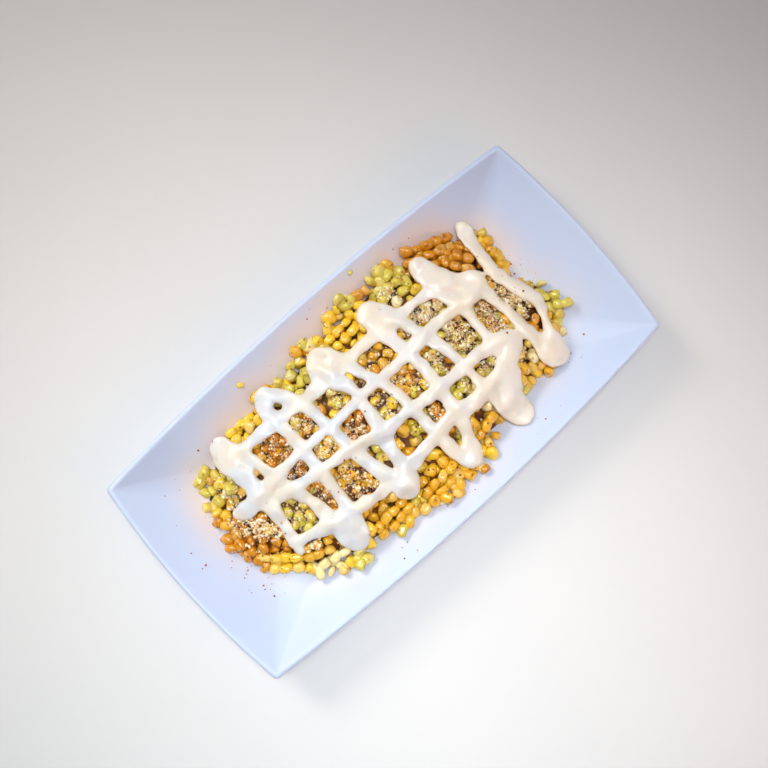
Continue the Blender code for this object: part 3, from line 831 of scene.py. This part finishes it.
def distance_inside(x, y, outline):
    """How far inside a closed outline a point lies; negative outside."""
    start = outline
    run = np.roll(outline, -1, axis=0) - start
    to_x, to_y = x - start[:, 0], y - start[:, 1]
    share = np.clip((to_x * run[:, 0] + to_y * run[:, 1]) / (run**2).sum(1), 0, 1)
    near = np.hypot(to_x - share * run[:, 0], to_y - share * run[:, 1]).min()
    end = start + run
    crosses = (start[:, 1] > y) != (end[:, 1] > y)
    with np.errstate(divide="ignore", invalid="ignore"):
        at = start[:, 0] + (y - start[:, 1]) / (end[:, 1] - start[:, 1]) * run[:, 0]
    inside = np.count_nonzero(crosses & (x < at)) % 2 == 1
    return near if inside else -near


def heap_outline():
    """The outline as it truly is, at the height of the kernels that form it."""
    return np.array([off_chart(x * MM, y * MM, OUTLINE_LEVEL) for x, y in OUTLINE])


class Heap:
    """Where the corn's surface is, and which kind of kernel lies where."""

    def __init__(self, dish_mesh):
        self.dish, _ = tree_of(dish_mesh)
        self.solid, _ = tree_of(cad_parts["corn_heap"].data)
        self.outline = heap_outline()

    def floor(self, x, y):
        """Height of the dish's inside there."""
        return height_under(self.dish, x, y)

    def top(self, x, y):
        """Height of the heap's surface, falling to one kernel's depth at the outline."""
        inside = distance_inside(x, y, self.outline)
        edge = self.floor(x, y) + mix(*EDGE_DEPTHS, between(0.0, inside / EDGE_WIDTH, 1.0)) * MM
        return max(height_under(self.solid, x, y), edge) if inside > EDGE_BAND else edge

    def slope(self, x, y):
        """The surface's upward direction, smoothed over a kernel or two."""
        reach = SLOPE_REACH
        east = self.top(x + reach, y) - self.top(x - reach, y)
        north = self.top(x, y + reach) - self.top(x, y - reach)
        return Vector((-east / 2, -north / 2, reach)).normalized()

    def kind(self, x, y, z, rng):
        """The kind of kernel that belongs there, or now and then any other."""
        chart_x, chart_y = on_chart(x, y, z)
        best, best_share = None, ZONE_REACH
        for zone_x, zone_y, reach, kind in ZONES:
            share = hypot(chart_x / MM - zone_x, chart_y / MM - zone_y) / reach
            if share < best_share:
                best, best_share = kind, share
        if best is None or rng.random() < STRANGERS:
            return str(rng.choice(KINDS, p=KIND_SHARES))
        return best


def slab_places(heap, rng):
    """Kernels still joined side by side, crowns outwards, on a gently curved piece of cob."""
    places = []
    for chart_x, chart_y, heading, columns, rows, kind in SLABS:
        turn = radians(heading)
        height = heap.top(chart_x * MM, chart_y * MM)
        centre_x, centre_y = off_chart(chart_x * MM, chart_y * MM, height)
        up = heap.slope(centre_x, centre_y).lerp(UP, 0.4)
        along = Vector((cos(turn), sin(turn), 0.0))
        across = Vector((-sin(turn), cos(turn), 0.0))
        for row in range(rows):
            for column in range(columns):
                u = (column - (columns - 1) / 2) * SLAB_PITCH[0] + rng.normal(0, SLAB_JITTER) * MM
                v = (row - (rows - 1) / 2) * SLAB_PITCH[1] + rng.normal(0, SLAB_JITTER) * MM
                x, y = (Vector((centre_x, centre_y, 0)) + along * u + across * v)[:2]
                if distance_inside(x, y, heap.outline) < 2 * MM:
                    continue
                bend = v / COB_RADIUS
                z = heap.top(x, y) - SLAB_DROP + rng.normal(0, SLAB_JITTER) * MM
                lean = (up + across * bend + along * (u / COB_BOW)).normalized()
                places.append((Vector((x, y, z)), lean, turn + rng.normal(0, 0.16), kind, 1.0))
    return places


def loose_places(heap, taken, spacing, drop, inset, rng, tries):
    """Kernels fallen anyhow, none nearer to another than the spacing."""
    low, high = heap.outline.min(0), heap.outline.max(0)
    grid = np.array([(place[0].x, place[0].y) for place in taken] + [(0.0, 0.0)] * tries)
    count = len(taken)
    places = []
    for _ in range(tries):
        x, y = rng.uniform(low[0], high[0]), rng.uniform(low[1], high[1])
        inside = distance_inside(x, y, heap.outline)
        ragged = noise.noise(Vector((x * RAGGED_GRAIN, y * RAGGED_GRAIN, 3.0)))
        if inside < inset + RAGGED_INSET * max(ragged, 0.0):
            continue
        covered = inside > COVERED_FROM
        room = spacing + COVERED_ROOM if covered else spacing
        if count and (np.hypot(grid[:count, 0] - x, grid[:count, 1] - y) < room).any():
            continue
        grid[count] = (x, y)
        count += 1
        floor = heap.floor(x, y)
        settle = rng.uniform(DEEPEST_COVERED if covered else DEEPEST_BARE, HIGHEST) * MM
        z = max(heap.top(x, y) - drop + settle, floor + LOWEST_MIDDLE)
        slope = heap.slope(x, y)
        spin = rng.uniform(0, 2 * pi)
        lean = rng.choice([rng.uniform(*bounds) for bounds in LEANS], p=LEAN_SHARES)
        side = Vector((cos(spin), sin(spin), 0.0))
        up = (slope * cos(lean) + side * sin(lean)).normalized()
        places.append((Vector((x, y, z)), up, rng.uniform(0, 2 * pi), heap.kind(x, y, z, rng), 0.0))
    return places


def make_corn(heap, templates, finishes):
    """One piece for each kind of kernel."""
    rng = np.random.default_rng(CORN_SEED)
    joined = slab_places(heap, rng)
    top = loose_places(heap, joined, TOP_SPACING, TOP_DROP, TOP_INSET, rng, TOP_TRIES)
    lower = loose_places(
        heap, [], LOWER_SPACING, TOP_DROP + LAYER_DROP, LOWER_INSET, rng, LOWER_TRIES
    )
    groups = {kind: [] for kind in KINDS}
    for point, up, heading, kind, is_joined in joined + top + lower:
        spread = 0.06 if is_joined else 0.11
        size = 1.0 + rng.normal(0, spread)
        smallest, largest = SIZE_LIMITS
        scale = [between(smallest, size * (1 + rng.normal(0, 0.06)), largest) for _ in range(3)]
        shape = int(rng.integers(len(templates)))
        groups[kind].append((shape, placed(point, up, heading, scale)))
    meshes = []
    for kind, places in groups.items():
        tones = np.clip(rng.normal(0.45, 0.22, len(places)), 0, 1)
        mesh = scatter(f"{kind}_kernels", templates, places, tone=tones)
        unsettle(mesh, SHAPE_PUSH, SHAPE_GRAIN)
        mesh.shade_smooth()
        new_piece(f"{kind}_kernels", mesh, finishes[kind], "sweetcorn", "corn_heap")
        meshes.append(mesh)
    return meshes


def make_core(heap, finish):
    """The shaded corn under the kernels that show: the heap's own solid, drawn in and sunk."""
    bm = bmesh.new()
    bm.from_mesh(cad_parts["corn_heap"].data)
    bmesh.ops.remove_doubles(bm, verts=bm.verts, dist=1e-6)
    for vert in bm.verts:
        x, y = vert.co.x * CORE_SHARES[0], vert.co.y * CORE_SHARES[1]
        bottom = heap.floor(x, y) + 0.5 * MM
        above = vert.co.z - heap.floor(vert.co.x, vert.co.y)
        sunk = bottom + max(above - CORE_DROP, 0.6 * MM) if above > 1.5 * MM else bottom
        vert.co = Vector((x, y, sunk))
    mesh = to_mesh(bm, "corn_core")
    new_piece("corn_core", mesh, finish, "sweetcorn", "corn_heap")
    return mesh


# ---------------- the crema


def modified(mesh, kind, **settings):
    """A mesh as one modifier leaves it."""
    carrier = in_scene("carrier", mesh)
    change = carrier.modifiers.new(kind, kind)
    for name, value in settings.items():
        setattr(change, name, value)
    graph = bpy.context.evaluated_depsgraph_get()
    graph.update()
    result = bpy.data.meshes.new_from_object(carrier.evaluated_get(graph))
    bpy.data.objects.remove(carrier)
    return result


class ReliefMap:
    """Heights of what lies under the crema, widened and softened, on an even grid."""

    def __init__(self, meshes):
        tree, _ = tree_of(*meshes)
        self.low = (-MAP_HALF_LENGTH, -MAP_HALF_WIDTH)
        columns, rows = (int(-2 * side / MAP_PITCH) + 1 for side in self.low)
        heights = np.zeros((columns, rows))
        for column in range(columns):
            for row in range(rows):
                x, y = self.low[0] + column * MAP_PITCH, self.low[1] + row * MAP_PITCH
                heights[column, row] = height_under(tree, x, y)
        self.heights = self.blurred(self.widened(heights, MAP_WIDENING), MAP_BLUR)

    @staticmethod
    def widened(heights, reach):
        """Each height becomes the highest within reach, in cells."""
        result = heights.copy()
        for across in range(-reach, reach + 1):
            for along in range(-reach, reach + 1):
                if hypot(across, along) <= reach + 0.3:
                    result = np.maximum(result, np.roll(heights, (across, along), axis=(0, 1)))
        return result

    @staticmethod
    def blurred(heights, spread):
        """Softened by a bell curve, its width in cells."""
        reach = int(3 * spread)
        weights = np.exp(-((np.arange(-reach, reach + 1) / spread) ** 2) / 2)
        weights /= weights.sum()
        for axis in (0, 1):
            heights = np.apply_along_axis(lambda line: np.convolve(line, weights, "same"), axis, heights)
        return heights

    def at(self, x, y):
        """The height between four of the grid's points."""
        heights = self.heights
        u = between(0, (x - self.low[0]) / MAP_PITCH, heights.shape[0] - 1.001)
        v = between(0, (y - self.low[1]) / MAP_PITCH, heights.shape[1] - 1.001)
        i, j = int(u), int(v)
        s, t = u - i, v - j
        near = mix(heights[i, j], heights[i + 1, j], s)
        far = mix(heights[i, j + 1], heights[i + 1, j + 1], s)
        return mix(near, far, t)


def flat_beads():
    """Every bead as a row of overlapping flattened balls, laid out on the chart."""
    ball = bmesh.new()
    bmesh.ops.create_uvsphere(ball, u_segments=14, v_segments=8, radius=1.0)
    ball = to_mesh(ball, "ball")
    bm = bmesh.new()
    for number, route in enumerate((CROSSWISE, UPPER_HAIRPIN, LOWER_HAIRPIN, FINGER)):
        for x, y, half_width in smooth_route(route):
            wander = noise.noise(Vector((x, y, number * 0.01)) * BEAD_WANDER_GRAIN)
            width = (half_width + CREMA_SPREAD) * (1 + BEAD_WANDER * wander)
            height = BEAD_HEIGHT + BEAD_FULLNESS * half_width
            squash = Matrix.Diagonal((width, width, height, 1))
            drop = ball.copy()
            drop.transform(Matrix.Translation((x, y, CROSSING_STEP * (number % 3))) @ squash)
            bm.from_mesh(drop)
            bpy.data.meshes.remove(drop)
    return to_mesh(bm, "beads")


def make_crema(ground, finish):
    """Fuses the beads into one net, then lays it over the kernels and the dish."""
    bm = bmesh.new()
    bm.from_mesh(modified(flat_beads(), "REMESH", mode="VOXEL", voxel_size=CREMA_VOXEL))
    for _ in range(CREMA_SMOOTHINGS):
        bmesh.ops.smooth_vert(bm, verts=bm.verts, factor=0.5, use_axis_x=True, use_axis_y=True,
                              use_axis_z=True)
    crests = [between(0.0, vert.co.z / CREST_HEIGHT, 1.0) for vert in bm.verts]
    for vert in bm.verts:
        ragged = noise.noise_vector(vert.co * EDGE_GRAIN) * EDGE_WANDER
        chart_x, chart_y, own = vert.co + Vector((ragged.x, ragged.y, 0.0))
        x, y = off_chart(chart_x, chart_y, CHART_LEVEL)
        for _ in range(3):
            rest = ground.at(x, y)
            x, y = off_chart(chart_x, chart_y, rest + own)
        sway = CREMA_SWAY * noise.noise(Vector((x, y, 0.0)) * SWAY_GRAIN)
        vert.co = Vector((x, y, rest + max(own, -CREMA_SAG) + CREMA_LIFT + sway))
    mesh = to_mesh(bm, "crema_lattice")
    label_points(mesh, "crown", crests)
    new_piece("crema_lattice", mesh, finish, "crema", "crema")
    return mesh


# ---------------- cheese, chilli and strays


def crumb_template(name, seed, flat):
    """A rough crumb: a small faceted lump pushed about at its corners."""
    rng = np.random.default_rng(seed)
    bm = bmesh.new()
    bmesh.ops.create_icosphere(bm, subdivisions=1, radius=0.5)
    for vert in bm.verts:
        vert.co *= rng.uniform(0.62, 1.2)
        vert.co.z *= flat
    return to_mesh(bm, name, smooth=False)


def strew(tree, owners, crema_number, table, bits, rng):
    """Places for scattered bits, each resting on whatever lies under it."""
    smallest, largest, on_crema = bits
    places = []
    for chart_x, chart_y, reach_x, reach_y, count in table:
        for _ in range(count):
            turn, reach = rng.uniform(0, 2 * pi), rng.uniform(0, 1) ** STREW_SPREAD
            x = (chart_x + reach_x * reach * cos(turn)) * MM
            y = (chart_y + reach_y * reach * sin(turn)) * MM
            spot = Vector((*off_chart(x, y, TOPPING_LEVEL), HIGH))
            hit, normal, face, _ = tree.ray_cast(spot, DOWN)
            if hit is None or (owners[face] == crema_number and rng.random() > on_crema):
                continue
            size = mix(smallest, largest, rng.uniform(0, 1) ** SMALL_BITS)
            up = normal + Vector(rng.normal(0, 0.3, 3))
            scale = [size * rng.uniform(0.75, 1.25) for _ in range(3)]
            point = hit + normal * size * BIT_RISE
            places.append((int(rng.integers(3)), placed(point, up, rng.uniform(0, 2 * pi), scale)))
    return places


def make_toppings(meshes, crema, cheese, chilli):
    """Crumbs of cheese over everything, then flakes of chilli over the crumbs too."""
    rng = np.random.default_rng(TOPPING_SEED)
    crumbs = [crumb_template(f"crumb_{seed}", seed, 0.8) for seed in (1, 2, 3)]
    flakes = [crumb_template(f"flake_{seed}", seed, 0.45) for seed in (4, 5, 6)]
    tree, owners = tree_of(*meshes, crema)
    crema_number = len(meshes)
    places = strew(tree, owners, crema_number, CHEESE, CHEESE_BITS, rng)
    places += strew(tree, owners, crema_number, FINE_DUST, DUST_BITS, rng)
    mesh = scatter("cheese_crumbs", crumbs, places, tone=rng.uniform(0, 1, len(places)) ** 1.6)
    new_piece("cheese_crumbs", mesh, cheese, "crema")
    tree, owners = tree_of(*meshes, crema, mesh)
    places = strew(tree, owners, crema_number, CHILLI, CHILLI_BITS, rng)
    new_piece("chilli_flakes", scatter("chilli_flakes", flakes, places), chilli, "sweetcorn")


def make_strays(templates, finishes):
    """Kernels that lie apart, each in the place of its own solid."""
    for number, kind, heading in STRAY_KINDS:
        node = f"stray_kernel_{number}"
        low, high = (Vector(corner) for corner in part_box(node))
        size = high - low
        mesh = templates[number % len(templates)].copy()
        mesh.transform(Matrix.Rotation(radians(STRAY_LEAN), 4, "Y"))
        extent = [max(vert.co[axis] for vert in mesh.vertices) * 2 for axis in range(3)]
        shrink = min(size[axis] / extent[axis] for axis in range(3)) * STRAY_EXTRA
        turn = Matrix.Rotation(radians(heading), 4, "Z")
        mesh.transform(Matrix.Translation((low + high) / 2) @ turn @ Matrix.Scale(shrink, 4))
        label_points(mesh, "tone", [0.45] * len(mesh.vertices))
        new_piece(f"{kind}_stray_kernel", mesh, finishes[kind], "sweetcorn", node)


# ---------------- floor, light and camera


def make_floor():
    """The pale floor that the dish stands on. It is not attached to the part's body."""
    bm = bmesh.new()
    bmesh.ops.create_grid(bm, x_segments=1, y_segments=1, size=3.0)
    mesh = to_mesh(bm, "floor")
    mesh.materials.append(floor_finish())
    floor = in_scene("floor", mesh)


def soft_light(name, place, target, size, power, colour, spread):
    """A round lamp that shines from a place towards a target."""
    lamp = bpy.data.lights.new(name, "AREA")
    lamp.shape = "DISK"
    lamp.size = size
    lamp.energy = power
    lamp.color = colour
    lamp.spread = radians(spread)
    holder = in_scene(name, lamp)
    holder.location = place
    holder.rotation_euler = (Vector(target) - Vector(place)).to_track_quat("-Z", "Y").to_euler()


def light_studio():
    """Cool light from above, a warmer key from behind, and a weak warm fill from the front."""
    world = bpy.data.worlds.new("studio")
    world.use_nodes = True
    ambient = world.node_tree.nodes["Background"]
    ambient.inputs["Color"].default_value = (0.95, 0.97, 1.0, 1.0)
    ambient.inputs["Strength"].default_value = 0.24
    bpy.context.scene.world = world
    soft_light("top", (0.0, 0.0, 1.30), (-0.10, -0.15, 0.02), 0.7, 1.0, (0.87, 0.97, 1.0), 38)
    soft_light("key", (-0.25, 1.00, 0.74), (-0.08, -0.05, 0.02), 0.5, 0.74, (1.0, 0.90, 0.80), 50)
    soft_light("glint", (-0.30, 0.50, 0.95), (0.0, 0.0, 0.02), 0.07, 0.55, (1.0, 0.96, 0.90), 180)
    soft_light("fill", (0.45, -0.75, 0.55), (0.0, 0.0, 0.02), 0.6, 1.05, (1.0, 0.50, 0.27), 180)
    soft_light("glow", (0.10, -0.90, 0.70), (0.02, 0.05, 0.02), 0.4, 0.09, (1.0, 0.50, 0.27), 40)


def place_camera():
    """Stands the camera where the viewer stands."""
    bpy.context.scene.view_settings.view_transform = "Standard"
    lens = bpy.data.cameras.new("camera")
    lens.lens = LENS_MM
    lens.sensor_width = SENSOR_MM
    lens.clip_start = 10 * MM
    camera = in_scene("camera", lens)
    turn = Matrix.Identity(4)
    for axis, angle in EYE_TURNS:
        turn = turn @ Matrix.Rotation(radians(angle), 4, axis)
    camera.matrix_world = Matrix.Translation(EYE) @ turn.transposed()
    bpy.context.scene.camera = camera


def main():
    """Builds the dish, fills it from the bottom up, and sets the stage."""
    noise.seed_set(NOISE_SEED)
    make_blotch_group()
    make_skin_group()
    finishes = {kind: kernel_finish(kind, *colours) for kind, colours in KERNEL_COLOURS.items()}
    dish = make_dish()
    new_piece("glazed_dish", dish, glaze_finish(), "porcelain", "dish")
    heap = Heap(dish)
    templates = [kernel_template(*shape) for shape in KERNEL_SHAPES]
    core = make_core(heap, painted_shade_core_finish())
    corn = make_corn(heap, templates, finishes)
    solids = [dish, core, *corn]
    ground = ReliefMap(solids)
    crema = make_crema(ground, crema_finish())
    make_toppings(solids, crema, cheese_finish(), chilli_finish())
    make_strays(templates, finishes)
    make_floor()
    light_studio()
    place_camera()


main()
